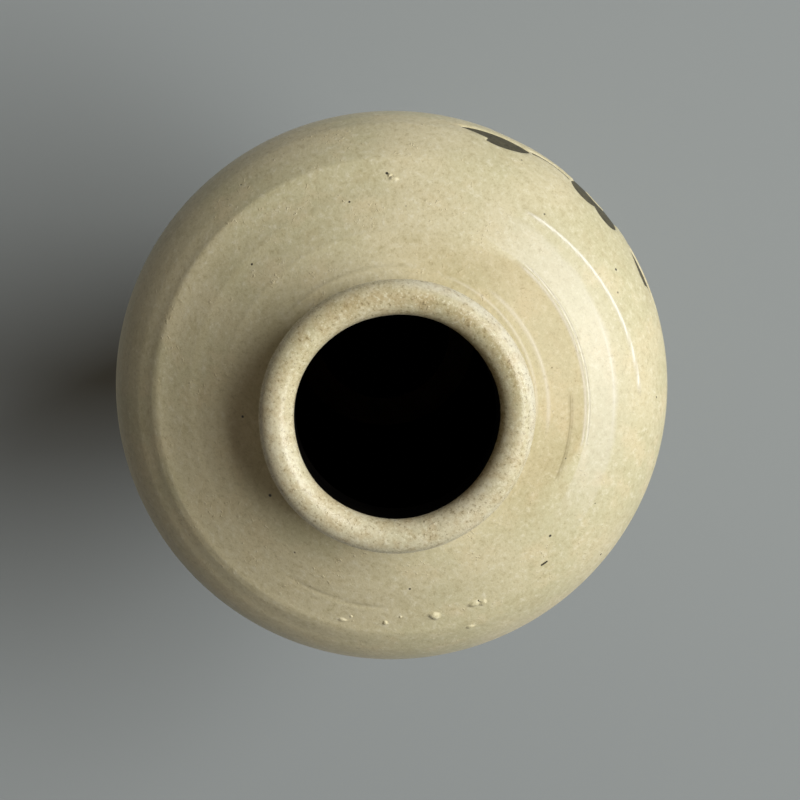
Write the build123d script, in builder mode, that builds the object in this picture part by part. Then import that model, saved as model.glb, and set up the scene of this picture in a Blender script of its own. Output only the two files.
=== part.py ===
from build123d import *
import os
from math import atan2, cos, degrees, radians, sin, tan

os.makedirs("parts", exist_ok=True)

# Driving sizes of the bare clay, in millimetres, from the foot up
waist_radius = 31.2  # the narrowest place, above the foot
waist_height = 22.0
foot_flare = 1.8  # how far the foot stands out beyond the waist
foot_ring_width = 6.0
foot_recess = 4.0
foot_bevel = 1.2
base_thickness = 7.0
girth_radius = 56.6  # the widest place
girth_rise = 116.0  # from the waist up to the girth
hollow_share = 0.40  # of that rise, how long the wall keeps the waist's direction
swell_share = 0.45  # of that rise, how long it keeps the girth's direction
turn_inset_width = 9.6  # from the girth in to the crease where the shoulder turns
turn_rise = 20.4
shoulder_height = 11.7  # from the turn up to the collar
collar_flare = 3.9  # from the neck out to the collar
neck_rise = 4.7
neck_wall = 2.8
lip_overhang = 2.75
lip_rise = 4.9
throat_foot_rise = 0.5  # above the collar, where the straight throat begins
wall_thickness = 5.0
floor_corner_radius = 7.0

# Glaze coats, and the mouth, which is measured over its glaze
glaze_thickness = 0.45
glaze_line_height = 9.0  # the foot below it is bare
bore_radius = 18.85

# Slip joints, where one thrown section sits on the next in a scored V
luting_thickness = 0.6
belly_seam_share = 0.46  # of the way from the waist to the girth
belly_vee = 1.2
neck_seam_rise = 0.9  # above the collar
neck_vee = 0.8

# Decoration: a spray of dark slip on one side, laid where the pale coat is cut away.
# Its places are shares of its span, across and up from the girth at its middle.
slip_thickness = 0.15
spray_azimuths = {"front": 270}
spray_span = 50.0
pale_gap = 0.9  # width of the pale lines left between the dark pieces
blossom_aside = 4.2  # from the flower's middle to the blossom's, across
bloom_clearance = 1.1  # between the petals of the two, up
blossom_ring_radius = 5.1  # to the middles of its lobes
blossom_lobe_radius = 3.5
blossom_lobes = 5
blossom_first_angle = 54
blossom_heart_radius = 1.9
flower_place_share = (0.03, -0.43)
flower_ring_radius = 10.4
flower_lobe_radius = 4.3
flower_lobes = 9
flower_first_angle = 10
inner_ring_radius = 4.3
inner_lobe_radius = 2.7
inner_lobes = 6
flower_heart_radius = 2.1

# Leaves: place of the base, direction in degrees, length, and the side that bears the barb
leaves_table_shares = (
    ((0.28, 0.16), 5, 0.268, 1),
    ((0.268, 0.004), -10, 0.264, 1),
    ((0.35, -0.31), -22, 0.25, 1),
    ((0.26, -0.66), -48, 0.26, 1),
    ((-0.272, 0.084), 170, 0.276, -1),
    ((-0.27, -0.19), 194, 0.26, -1),
    ((-0.26, -0.56), 222, 0.27, -1),
)
leaf_shoulder_share = (0.20, 0.24)
leaf_barb_share = (0.62, 0.25)
leaf_notch_share = (0.60, 0.15)
leaf_shank_share = (0.80, 0.08)
leaf_belly_share = (0.50, -0.11)

# Stems, each an arc through three places
stem_width = 1.3
stems_table_shares = (
    ((0.29, 0.164), (0.172, 0.124), (0.06, 0.16)),
    ((0.276, 0.006), (0.19, -0.032), (0.08, -0.13)),
    ((-0.28, 0.086), (-0.21, -0.04), (-0.06, -0.17)),
    ((-0.054, -0.06), (-0.032, -0.14), (0.03, -0.20)),
    ((0.03, -0.66), (0.092, -0.88), (0.03, -1.12)),
    ((0.078, -0.80), (0.16, -0.75), (0.268, -0.668)),
    ((0.078, -0.94), (-0.09, -0.78), (-0.268, -0.568)),
)

# Kiln grit fused to the shoulder: azimuth, share of the turn's radius, share of the size
grit_radius = 1.15
grit_sunk_share = 0.45
grit_table_shares = (
    (144.5, 0.914, 1.0),
    (156.0, 0.910, 0.72),
    (158.4, 0.936, 0.6),
    (131.5, 0.932, 0.55),
    (120.5, 0.945, 0.5),
    (135.5, 0.900, 0.45),
    (314.0, 0.921, 0.62),
)

# How far a cutting face runs past what it cuts
overrun = 5.0

# Heights and radii worked out from those sizes
foot_radius = waist_radius + foot_flare
girth_height = waist_height + girth_rise
turn_radius = girth_radius - turn_inset_width
turn_height = girth_height + turn_rise
collar_height = turn_height + shoulder_height
throat_radius = bore_radius + glaze_thickness
neck_radius = throat_radius + neck_wall
collar_radius = neck_radius + collar_flare
neck_height = collar_height + neck_rise
lip_radius = neck_radius + lip_overhang
lip_height = neck_height + lip_rise
roll_radius = (lip_radius - throat_radius) / 2
crest_height = lip_height + roll_radius + glaze_thickness
floor_height = foot_recess + base_thickness
throat_foot_height = collar_height + throat_foot_rise
belly_seam_height = waist_height + belly_seam_share * girth_rise
neck_seam_height = collar_height + neck_seam_rise

# Which way the skin faces on each side of a corner, in degrees above level
shoulder_run = turn_radius - collar_radius
shoulder_facing = 90 - degrees(atan2(shoulder_height, shoulder_run))
wall_facing = 2 * degrees(atan2(turn_inset_width, turn_rise))
collar_facing = 2 * degrees(atan2(collar_flare, neck_rise))
lip_facing = -2 * degrees(atan2(lip_overhang, lip_rise))
belly_lean = tan(atan2(girth_radius - waist_radius, girth_rise))


def moved(place, growth, below, above):
    """A corner's place on a skin that lies `growth` outside the clay, from how its two sides face."""
    x = cos(radians(below)) + cos(radians(above))
    y = sin(radians(below)) + sin(radians(above))
    share = 1 + cos(radians(above - below))
    return (place[0] + growth * x / share, place[1] + growth * y / share)


def turn_place(growth):
    """Where the wall meets the shoulder."""
    return moved((turn_radius, turn_height), growth, wall_facing, shoulder_facing)


def collar_place(growth):
    """Where the shoulder meets the neck."""
    return moved((collar_radius, collar_height), growth, shoulder_facing, collar_facing)


def draw_wall(growth):
    """Lines of the wall from the foot up to the collar, on a skin that lies `growth` outside the clay."""
    waist = (waist_radius + growth, waist_height)
    girth = (girth_radius + growth, girth_height)
    drop = belly_lean * growth
    TangentArc(waist, (foot_radius + growth, foot_bevel), tangent=(0, -1))
    Bezier(
        waist,
        (waist[0], waist[1] + hollow_share * girth_rise - drop),
        (girth[0], girth[1] - swell_share * girth_rise - drop),
        girth,
    )
    TangentArc(girth, turn_place(growth), tangent=(0, 1))
    Line(turn_place(growth), collar_place(growth))


def outside(growth):
    """Half section of all that lies inside a skin `growth` outside the clay, radius across, height up."""
    foot = (foot_radius + growth, foot_bevel)
    neck = moved((neck_radius, neck_height), growth, 0, lip_facing)
    lip = (lip_radius + growth, lip_height)
    mouth = (throat_radius - growth, lip_height)
    with BuildSketch() as region:
        with BuildLine():
            Polyline((0, 0), (foot[0] - foot_bevel, 0), foot)
            draw_wall(growth)
            TangentArc(neck, collar_place(growth), tangent=(0, -1))
            TangentArc(lip, neck, tangent=(0, -1))
            ThreePointArc(
                lip,
                (throat_radius + roll_radius, lip_height + roll_radius + growth),
                mouth,
            )
            Polyline(mouth, (0, lip_height), (0, 0))
        make_face()
    return region.sketch


def hollow(coat):
    """Half section of the hollow inside, with a coat of this thickness on its walls and floor."""
    growth = -wall_thickness - coat
    floor = floor_height + coat
    throat = throat_radius - coat
    with BuildSketch() as region:
        with BuildLine():
            Polyline((0, 0), (foot_radius + growth, 0), (foot_radius + growth, foot_bevel))
            draw_wall(growth)
            TangentArc((throat, throat_foot_height), collar_place(growth), tangent=(0, -1))
            Polyline((throat, throat_foot_height), (throat, lip_height), (0, lip_height), (0, 0))
        make_face()
        Rectangle(girth_radius, floor, align=(Align.MIN, Align.MIN), mode=Mode.SUBTRACT)
        corner = region.vertices().group_by(Axis.Y)[0].sort_by(Axis.X)[-1]
        fillet(corner, floor_corner_radius - coat)
    return region.sketch


def band(low, high):
    """Half section of everything between two heights."""
    with BuildSketch() as region:
        with Locations((0, low)):
            Rectangle(girth_radius + overrun, high - low, align=(Align.MIN, Align.MIN))
    return region.sketch


def below_vee(height, middle, depth):
    """Half section of everything below a seam, whose line dips in a V at the middle of the wall."""
    far = girth_radius + overrun
    with BuildSketch() as region:
        with BuildLine():
            Polyline(
                (0, -overrun),
                (0, height),
                (middle - depth, height),
                (middle, height - depth),
                (middle + depth, height),
                (far, height),
                (far, -overrun),
                close=True,
            )
        make_face()
    return region.sketch


# Half section of the bare clay, with the recess that leaves a foot ring
with BuildSketch() as clay_wall:
    add(outside(0))
    add(hollow(0), mode=Mode.SUBTRACT)
    Rectangle(
        foot_radius - foot_ring_width,
        foot_recess,
        align=(Align.MIN, Align.MIN),
        mode=Mode.SUBTRACT,
    )


def wall_middle(height):
    """Radius of the middle of the clay wall at a height."""
    with BuildSketch() as slice_of_wall:
        add(clay_wall.sketch)
        add(band(height, height + luting_thickness), mode=Mode.INTERSECT)
    return slice_of_wall.face().center().X


belly_middle = wall_middle(belly_seam_height)
neck_middle = wall_middle(neck_seam_height)
belly_joint_top = below_vee(belly_seam_height + luting_thickness, belly_middle, belly_vee)
belly_joint_foot = below_vee(belly_seam_height, belly_middle, belly_vee)
neck_joint_top = below_vee(neck_seam_height + luting_thickness, neck_middle, neck_vee)
neck_joint_foot = below_vee(neck_seam_height, neck_middle, neck_vee)

# The lower thrown section, with the floor and the turned foot ring
with BuildPart() as foot_section:
    with BuildSketch(Plane.XZ):
        add(clay_wall.sketch)
        add(belly_joint_foot, mode=Mode.INTERSECT)
    revolve(axis=Axis.Z)
foot_section.part.label = "foot_section"
export_step(foot_section.part, "parts/foot_section.step")

# The slip that lutes the two body sections together
with BuildPart() as belly_slip_joint:
    with BuildSketch(Plane.XZ):
        add(clay_wall.sketch)
        add(belly_joint_top, mode=Mode.INTERSECT)
        add(belly_joint_foot, mode=Mode.SUBTRACT)
    revolve(axis=Axis.Z)
belly_slip_joint.part.label = "belly_slip_joint"
export_step(belly_slip_joint.part, "parts/belly_slip_joint.step")

# The upper thrown section: belly, turn and shoulder
with BuildPart() as shoulder_section:
    with BuildSketch(Plane.XZ):
        add(clay_wall.sketch)
        add(belly_joint_top, mode=Mode.SUBTRACT)
        add(neck_joint_foot, mode=Mode.INTERSECT)
    revolve(axis=Axis.Z)
shoulder_section.part.label = "shoulder_section"
export_step(shoulder_section.part, "parts/shoulder_section.step")

# The slip under the neck
with BuildPart() as neck_slip_joint:
    with BuildSketch(Plane.XZ):
        add(clay_wall.sketch)
        add(neck_joint_top, mode=Mode.INTERSECT)
        add(neck_joint_foot, mode=Mode.SUBTRACT)
    revolve(axis=Axis.Z)
neck_slip_joint.part.label = "neck_slip_joint"
export_step(neck_slip_joint.part, "parts/neck_slip_joint.step")

# The short neck with its rolled lip
with BuildPart() as neck_ring:
    with BuildSketch(Plane.XZ):
        add(clay_wall.sketch)
        add(neck_joint_top, mode=Mode.SUBTRACT)
    revolve(axis=Axis.Z)
neck_ring.part.label = "neck_ring"
export_step(neck_ring.part, "parts/neck_ring.step")

# The dark coat inside, from the throat's edge down over the floor
with BuildPart() as inner_glaze:
    with BuildSketch(Plane.XZ):
        add(hollow(0))
        add(hollow(glaze_thickness), mode=Mode.SUBTRACT)
    revolve(axis=Axis.Z)
inner_glaze.part.label = "inner_glaze"
export_step(inner_glaze.part, "parts/inner_glaze.step")


def spray_plane(azimuth):
    """Upright plane through the vase's axis, facing out at an azimuth, from the girth."""
    across, out = sin(radians(azimuth)), cos(radians(azimuth))
    return Plane(origin=(0, 0, girth_height), x_dir=(-across, out, 0), z_dir=(out, across, 0))


def spray_place(share):
    """A place on the spray's plane."""
    return (share[0] * spray_span, share[1] * spray_span)


def leaf(place_share, direction, length_share, side):
    """A pointed leaf with one barb, from its base to its tip."""
    length = length_share * spray_span

    def at(share):
        return (share[0] * length, side * share[1] * length)

    with BuildSketch() as one:
        with BuildLine():
            ThreePointArc((0, 0), at(leaf_shoulder_share), at(leaf_barb_share))
            Line(at(leaf_barb_share), at(leaf_notch_share))
            ThreePointArc(at(leaf_notch_share), at(leaf_shank_share), (length, 0))
            ThreePointArc((length, 0), at(leaf_belly_share), (0, 0))
        make_face()
    return one.sketch.moved(Location((*spray_place(place_share), 0), (0, 0, direction)))


# The blossom stands clear above the flower
flower_place = spray_place(flower_place_share)
flower_reach = flower_ring_radius + flower_lobe_radius
blossom_reach = blossom_ring_radius + blossom_lobe_radius
blossom_place = (
    flower_place[0] - blossom_aside,
    flower_place[1] + flower_reach + bloom_clearance + blossom_reach,
)

# The flat outlines of one spray
with BuildSketch() as blossom:
    with Locations(blossom_place):
        Circle(blossom_ring_radius)
        with PolarLocations(blossom_ring_radius, blossom_lobes, start_angle=blossom_first_angle):
            Circle(blossom_lobe_radius)
        Circle(blossom_heart_radius + pale_gap, mode=Mode.SUBTRACT)
        Circle(blossom_heart_radius)

with BuildSketch() as inner_petals:
    with Locations(flower_place):
        Circle(inner_ring_radius)
        with PolarLocations(inner_ring_radius, inner_lobes):
            Circle(inner_lobe_radius)

with BuildSketch() as inner_clearing:
    with Locations(flower_place):
        Circle(inner_ring_radius + pale_gap)
        with PolarLocations(inner_ring_radius, inner_lobes):
            Circle(inner_lobe_radius + pale_gap)

with BuildSketch() as flower:
    with Locations(flower_place):
        Circle(flower_ring_radius)
        with PolarLocations(flower_ring_radius, flower_lobes, start_angle=flower_first_angle):
            Circle(flower_lobe_radius)
    add(inner_clearing.sketch, mode=Mode.SUBTRACT)
    add(inner_petals.sketch)
    with Locations(flower_place):
        Circle(flower_heart_radius + pale_gap, mode=Mode.SUBTRACT)
        Circle(flower_heart_radius)

with BuildSketch() as leaves:
    for row in leaves_table_shares:
        add(leaf(*row))

with BuildSketch() as stem_clearing:
    for shape in (blossom, flower, leaves):
        for outline in shape.faces():
            add(offset(Face(outline.outer_wire()), amount=pale_gap, mode=Mode.PRIVATE))

with BuildSketch() as stem:
    with BuildLine():
        for row in stems_table_shares:
            ThreePointArc(*[spray_place(share) for share in row])
    trace(line_width=stem_width)
    add(stem_clearing.sketch, mode=Mode.SUBTRACT)

spray_outlines = {"blossom": blossom, "flower": flower, "leaves": leaves, "stem": stem}

# The dark slip, seen in the cut-outs of the pale coat
with BuildPart() as slip_shell:
    with BuildSketch(Plane.XZ):
        add(outside(slip_thickness))
        add(outside(0), mode=Mode.SUBTRACT)
        add(band(waist_height, turn_height), mode=Mode.INTERSECT)
    revolve(axis=Axis.Z)

for side, azimuth in spray_azimuths.items():
    for kind, outlines in spray_outlines.items():
        with BuildPart() as piece:
            add(slip_shell.part)
            with BuildSketch(spray_plane(azimuth)):
                add(outlines.sketch)
            extrude(amount=girth_radius + overrun, mode=Mode.INTERSECT)
        piece.part.label = side + "_" + kind
        export_step(piece.part, "parts/" + side + "_" + kind + ".step")

# The pale coat outside, from the glaze line up over the lip, cut away for the spray
with BuildPart() as outer_glaze:
    with BuildSketch(Plane.XZ):
        add(outside(glaze_thickness))
        add(outside(0), mode=Mode.SUBTRACT)
        add(band(glaze_line_height, crest_height), mode=Mode.INTERSECT)
    revolve(axis=Axis.Z)
    for azimuth in spray_azimuths.values():
        with BuildSketch(spray_plane(azimuth)):
            for outlines in spray_outlines.values():
                add(outlines.sketch)
        extrude(amount=girth_radius + overrun, mode=Mode.SUBTRACT)
outer_glaze.part.label = "outer_glaze"
export_step(outer_glaze.part, "parts/outer_glaze.step")


def shoulder_place(azimuth, share, depth):
    """A place under the shoulder's glazed face, at a share of the turn's radius."""
    radius = share * turn_radius
    height = turn_height + (turn_radius - radius) * shoulder_height / shoulder_run
    facing, turned = radians(shoulder_facing), radians(azimuth)
    reach = radius + (glaze_thickness - depth) * cos(facing)
    rise = height + (glaze_thickness - depth) * sin(facing)
    return (reach * cos(turned), reach * sin(turned), rise)


# Bits of kiln grit fused to the glaze of the shoulder
with BuildPart() as kiln_grit:
    for azimuth, radius_share, size_share in grit_table_shares:
        bit = size_share * grit_radius
        with Locations(shoulder_place(azimuth, radius_share, grit_sunk_share * bit)):
            Sphere(bit)
    with BuildSketch(Plane.XZ):
        add(outside(glaze_thickness))
    revolve(axis=Axis.Z, mode=Mode.SUBTRACT)
kiln_grit.part.label = "kiln_grit"
export_step(kiln_grit.part, "parts/kiln_grit.step")
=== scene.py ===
# %% [markdown]
# # A meiping vase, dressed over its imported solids
#
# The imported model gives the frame: its solids stand at their real size, +Z up, with the foot on z = 0.
# Everything below is drawn in millimetres with numpy and turned into metres when a mesh is made.

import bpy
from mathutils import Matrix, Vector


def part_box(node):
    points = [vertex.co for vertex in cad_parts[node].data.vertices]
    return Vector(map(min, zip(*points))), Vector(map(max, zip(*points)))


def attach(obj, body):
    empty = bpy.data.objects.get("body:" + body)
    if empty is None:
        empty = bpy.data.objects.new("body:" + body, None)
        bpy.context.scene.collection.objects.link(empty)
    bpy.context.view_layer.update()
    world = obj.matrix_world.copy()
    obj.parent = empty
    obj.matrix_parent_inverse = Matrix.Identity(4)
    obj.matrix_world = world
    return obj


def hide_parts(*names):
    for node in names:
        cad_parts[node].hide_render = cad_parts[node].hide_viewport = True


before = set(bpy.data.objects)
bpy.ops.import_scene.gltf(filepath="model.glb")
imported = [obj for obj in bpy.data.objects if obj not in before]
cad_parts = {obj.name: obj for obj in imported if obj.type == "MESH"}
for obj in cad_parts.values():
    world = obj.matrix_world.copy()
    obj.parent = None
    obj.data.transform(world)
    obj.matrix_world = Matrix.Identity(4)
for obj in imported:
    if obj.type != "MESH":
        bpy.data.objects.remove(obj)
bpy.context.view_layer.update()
print("nodes", sorted(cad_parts))

# %% Tools and units
from math import cos, pi, radians, sin

import bpy
import numpy as np
from mathutils import Matrix, Vector
from mathutils.geometry import delaunay_2d_cdt

MM = 0.001  # metres in a millimetre
scene = bpy.context.scene


def new_object(name, data):
    """An object with this data, linked to the scene."""
    thing = bpy.data.objects.new(name, data)
    scene.collection.objects.link(thing)
    return thing


# %% [markdown]
# ## Where the picture was taken from
#
# The picture looks down on the mouth, tilted by about eight degrees, with the camera rolled. Places on the
# vase are easiest to read as angles of the picture, where 0 is to its right and 90 is up. The vase's own
# azimuth is that angle and a fixed turn, because the decorated side faces -Y here.

# %% Angles of the picture
PICTURE_TURN = 224.0  # degrees from an angle of the picture to the vase's azimuth


def seen(angle, radius, height):
    """The place, in millimetres, at an angle of the picture."""
    turned = radians(angle + PICTURE_TURN)
    return Vector((radius * cos(turned), radius * sin(turned), height))


# %% The camera
eye = seen(99.12, 42.64, 468.43)
aim = seen(-56.41, 2.90, 138.0)
picture_up = seen(90.0, 1.0, 0.0)

camera_data = bpy.data.cameras.new("camera")
camera_data.lens = 72.0
camera_data.sensor_width = 36.0
camera_data.clip_start = 0.01
camera = new_object("camera", camera_data)
back = (eye - aim).normalized()
right = picture_up.cross(back).normalized()
turned = Matrix((right, back.cross(right), back)).transposed().to_4x4()
camera.matrix_world = Matrix.Translation(eye * MM) @ turned
scene.camera = camera
print("camera at", [round(v, 1) for v in eye], "looks at", [round(v, 1) for v in aim])

# %% [markdown]
# ## The turned outline
#
# A thrown pot is one outline swept round an axis, so the outline comes first: foot, waist, belly, girth,
# shoulder, neck and rolled lip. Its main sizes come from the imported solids, and the same arcs and curves
# join them. The places are kept as arrays, so that each can be moved along its own normal later.

# %% Sizes of the outline, over the glaze
coat_low, coat_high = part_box("outer_glaze")
GIRTH_R = coat_high.x / MM
CREST_Z = coat_high.z / MM
GLAZE_LINE = coat_low.z / MM
GLAZE = 0.45
GIRTH_Z = 138.0
WAIST_R, WAIST_Z = 31.65, 22.0
FOOT_R, FOOT_Z = 33.45, 1.2
TURN_R, TURN_Z = 47.26, 158.77
COLLAR_R, COLLAR_Z = 26.15, 170.53
NECK_R, NECK_Z = 22.55, 174.55
LIP_R, LIP_Z = 25.3, 179.7
THROAT_R = 18.85
SHOULDER_SLOPE = (COLLAR_Z - TURN_Z) / (TURN_R - COLLAR_R)
SHOULDER_TILT = 29.2  # degrees below level
print("girth", round(GIRTH_R, 2), "crest", round(CREST_Z, 2), "glaze line", round(GLAZE_LINE, 2))


# %% Curves of the outline
def on_circle(centre, radius, angles):
    """Points on a circle at angles in radians."""
    return np.asarray(centre) + radius * np.stack((np.cos(angles), np.sin(angles)), 1)


def round_centre(centre, start, end, count, leftward=None):
    """Points round a centre from start to end, by the shorter way unless the turn is given."""
    first, last = (np.arctan2(*(place - centre)[::-1]) for place in (start, end))
    swing = last - first
    if leftward is None:
        swing = (swing + pi) % (2 * pi) - pi
    elif (swing > 0) != leftward:
        swing += 2 * pi if leftward else -2 * pi
    return on_circle(centre, np.hypot(*(start - centre)), first + swing * np.linspace(0, 1, count))


def arc(start, end, tangent, count):
    """Points of the arc that leaves `start` along `tangent` and reaches `end`."""
    start, end, tangent = (np.array(v, float) for v in (start, end, tangent))
    normal = np.array((-tangent[1], tangent[0])) / np.hypot(*tangent)
    chord = end - start
    radius = chord @ chord / (2 * chord @ normal)
    return round_centre(start + radius * normal, start, end, count)


def bezier(places, count):
    """Points of a curve through the first and last of four places."""
    t = np.linspace(0, 1, count)[:, None]
    a, b, c, d = (np.array(v, float) for v in places)
    return a * (1 - t) ** 3 + 3 * b * t * (1 - t) ** 2 + 3 * c * t**2 * (1 - t) + d * t**3


belly_rise = GIRTH_Z - WAIST_Z
belly_pull = ((GIRTH_R, GIRTH_Z - 0.45 * belly_rise), (WAIST_R, WAIST_Z + 0.40 * belly_rise))
belly_curve = bezier(((GIRTH_R, GIRTH_Z), *belly_pull, (WAIST_R, WAIST_Z)), 1500)
wall_curve = arc((GIRTH_R, GIRTH_Z), (TURN_R, TURN_Z), (0, 1), 600)[::-1]
foot_curve = arc((WAIST_R, WAIST_Z), (FOOT_R, FOOT_Z), (0, -1), 200)
side_curve = np.concatenate((wall_curve, belly_curve[1:], foot_curve[1:]))
print("side of the vase", len(side_curve), "points from", side_curve[0], "to", side_curve[-1])


# %% Places and normals down the side
def outward(points):
    """Unit normals of an outline that runs downwards, pointing away from the axis."""
    along = np.gradient(points, axis=0)
    along /= np.hypot(along[:, 0], along[:, 1])[:, None]
    return np.stack((-along[:, 1], along[:, 0]), 1)


side_normals = outward(side_curve)
side_order = np.argsort(side_curve[:, 1])


def side_at(heights):
    """Radius, height and normal of the side at these heights, below the turn."""
    z = side_curve[side_order, 1]
    columns = (side_curve[:, 0], side_normals[:, 0], side_normals[:, 1])
    radius, across, rise = (np.interp(heights, z, c[side_order]) for c in columns)
    return np.stack((radius, heights, across, rise), 1)


def behind(heights, depth):
    """Places this far behind the side's face."""
    side = side_at(heights)
    return side[:, :2] - depth * side[:, 2:]


# %% [markdown]
# ## Rows of the mesh
#
# The rows lie close where the surface has fine ridges and the lip turns, and far apart down the belly.

# %% Rows from the throat's edge down to the glaze line
roll_r = (LIP_R - THROAT_R) / 2
roll_rows = on_circle((THROAT_R + roll_r, LIP_Z), roll_r, np.radians(np.linspace(180, 0, 33)))
neck_rows = arc((LIP_R, LIP_Z), (NECK_R, NECK_Z), (0, -1), 9)[1:]
collar_rows = arc((NECK_R, NECK_Z), (COLLAR_R, COLLAR_Z), (0, -1), 9)[1:-1]


def cone_height(radius):
    """Height of the shoulder's plain cone."""
    return TURN_Z + (TURN_R - radius) * SHOULDER_SLOPE


# a radius, and the step between rows from there to the next
SHOULDER_STOPS = ((COLLAR_R, 0.25), (28.0, 0.3), (29.6, 0.5), (33.0, 0.16), (34.1, 0.3))
SHOULDER_STOPS += ((35.5, 0.14), (37.8, 0.55), (43.6, 0.27), (TURN_R, 0))
shoulder_r = [COLLAR_R]
for (low, step), (high, _) in zip(SHOULDER_STOPS, SHOULDER_STOPS[1:]):
    shoulder_r += list(np.linspace(low, high, round((high - low) / step) + 1)[1:])
shoulder_r = np.array(shoulder_r)
shoulder_rows = np.stack((shoulder_r, cone_height(shoulder_r)), 1)
top_rows = np.concatenate((roll_rows, neck_rows, collar_rows, shoulder_rows))
top_rows = np.concatenate((top_rows, outward(top_rows)), 1)

# a height, and how many rows there are from it to the next, both counted
SIDE_STOPS = ((TURN_Z, 12), (155.0, 20), (140.0, 36), (76.0, 22), (GLAZE_LINE, 0))
side_heights = [np.linspace(top, foot, n)[1:] for (top, n), (foot, _) in zip(SIDE_STOPS, SIDE_STOPS[1:])]
rows = np.concatenate((top_rows, side_at(np.concatenate(side_heights))))
print("rows", len(rows), "of them on the shoulder", len(shoulder_rows))

# %% [markdown]
# ## What throwing left
#
# A wheel-thrown wall isn't smooth: it has rings that climb as a spiral, belts between them, and one crease
# where the shoulder turns. The picture shows these best on the right, where light grazes them. Each is a
# small push along the normal, as a function of the angle and the radius.


# %% Small helpers for the marks
def bump(distance, width):
    """A smooth bump of height 1 and this half width."""
    return np.exp(-((distance / width) ** 2))


def rise_between(value, low, high):
    """0 below the first value, 1 above the second, smooth between."""
    share = np.clip((value - low) / (high - low), 0, 1)
    return share * share * (3 - 2 * share)


def window(angle, start, end, fade):
    """1 between two angles of the picture, fading to 0 outside them."""
    middle, half = (start + end) / 2, (end - start) / 2
    away = np.abs((angle - middle + 180) % 360 - 180) - half
    return rise_between(1 - away / fade, 0, 1)


def waves(angle, table):
    """A slow wobble round the vase from (waves per turn, size, phase)."""
    return sum(size * np.sin(np.radians(count * angle + phase)) for count, size, phase in table)


def on_lines(angle, radius, table, overrun):
    """The height of each line of a table here. Lines keep their lean for a share past their ends."""
    for start, end, first, last, height, width, fade in table:
        share = ((angle - start + 180) % 360 - 180) / (end - start)
        place = first + (last - first) * np.clip(share, -overrun, 1 + overrun)
        yield height * window(angle, start, end, fade) * bump(radius - place, width)


# %% Ridges and grooves of the shoulder, and its wall
# start and end angle, radius at each, height, half width, fade of the ends in degrees
SHOULDER_MARKS = (
    (-9, 45, 36.64, 35.94, 0.20, 0.24, 5),
    (-9, 45, 37.06, 36.32, -0.12, 0.20, 5),
    (-9, 45, 37.49, 36.70, 0.19, 0.26, 5),
    (-12, 50, 35.9, 35.1, -0.10, 0.5, 10),
    (5, 52, 48.12, 45.09, 0.24, 0.34, 5),
    (5, 54, 47.7, 44.1, -0.07, 0.5, 8),
    (-20, 45, 43.2, 42.6, 0.07, 0.5, 20),
    (-2, 45, 29.0, 28.6, 0.15, 0.34, 10),
    (-24, 2, 33.8, 33.4, -0.24, 0.26, 4),
    (-60, 20, 40.9, 41.6, 0.04, 0.8, 20),
    (-118, -93, 39.4, 40.1, -0.12, 0.24, 6),
    (-112, -98, 40.4, 40.9, 0.06, 0.3, 5),
    (60, 150, 33.5, 33.0, 0.05, 0.6, 30),
    (100, 200, 40.0, 39.0, 0.05, 0.7, 30),
    (5, 125, 26.6, 26.9, 0.17, 0.40, 25),
)

# The wall is an arc from the girth up to the turn. Inside the turn it goes on as a straight line.
wall_centre_r = GIRTH_R - ((GIRTH_R - TURN_R) ** 2 + (TURN_Z - GIRTH_Z) ** 2) / (2 * (GIRTH_R - TURN_R))
wall_radius = GIRTH_R - wall_centre_r
WALL_SLOPE = (TURN_R - wall_centre_r) / (TURN_Z - GIRTH_Z)


def wall_height(radius):
    """Height of the wall over the girth, and of its line inside the turn."""
    wall = GIRTH_Z + np.sqrt(np.maximum(wall_radius**2 - (radius - wall_centre_r) ** 2, 0))
    return np.where(radius > TURN_R, wall, TURN_Z + (TURN_R - radius) * WALL_SLOPE)


# %% The shoulder's dome, belt and crease
DOME, BELT, LEDGE = 0.45, 0.34, 0.16
BELT_R = 36.4
DOME_PEAK = 4 / 27  # the crest of the dome's curve before it is scaled


def upper_height(angle, radius):
    """Height of the shoulder and of the wall under it, where the lower of the two shows."""
    inward = np.clip((TURN_R - radius) / (TURN_R - COLLAR_R), -0.6, 1)
    dome = DOME / DOME_PEAK * inward**2 * (1 - inward) * (inward > 0)
    ledge = LEDGE * bump(radius - TURN_R, 2.5) * window(angle, 90, 240, 40)
    tilt = waves(angle, ((1, 0.30, -160), (2, 0.08, 70))) * (1 - inward)
    knee = np.interp(radius, (COLLAR_R, BELT_R, 47.0), (0, 1, 0)) * BELT * window(angle, -20, 55, 35)
    eased = window(angle, -45, 40, 40)
    soft = 0.05 + 0.45 * eased
    shoulder = cone_height(radius) + dome + tilt + knee + ledge
    lower = -soft * np.logaddexp(-shoulder / soft, -wall_height(radius) / soft)
    return lower + (0.04 + 0.14 * eased) * bump(radius - TURN_R, 4)


def falling_away(angle, radius):
    """How far the wall falls back past the turn on the left, steeply at first."""
    past = np.clip(radius - TURN_R, 0, 9)
    fall = (1 - np.exp(-past / 1.3)) * (1 - np.clip((past - 2.5) / 6, 0, 1))
    return 0.25 * fall * window(angle, 100, 245, 25)


# %% All the throwing marks together
RING_PITCH = 3.4
UPPER_WALL_Z = GIRTH_Z + 9
SHOULDER_FACING = 0.874  # how far the shoulder faces upwards


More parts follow.
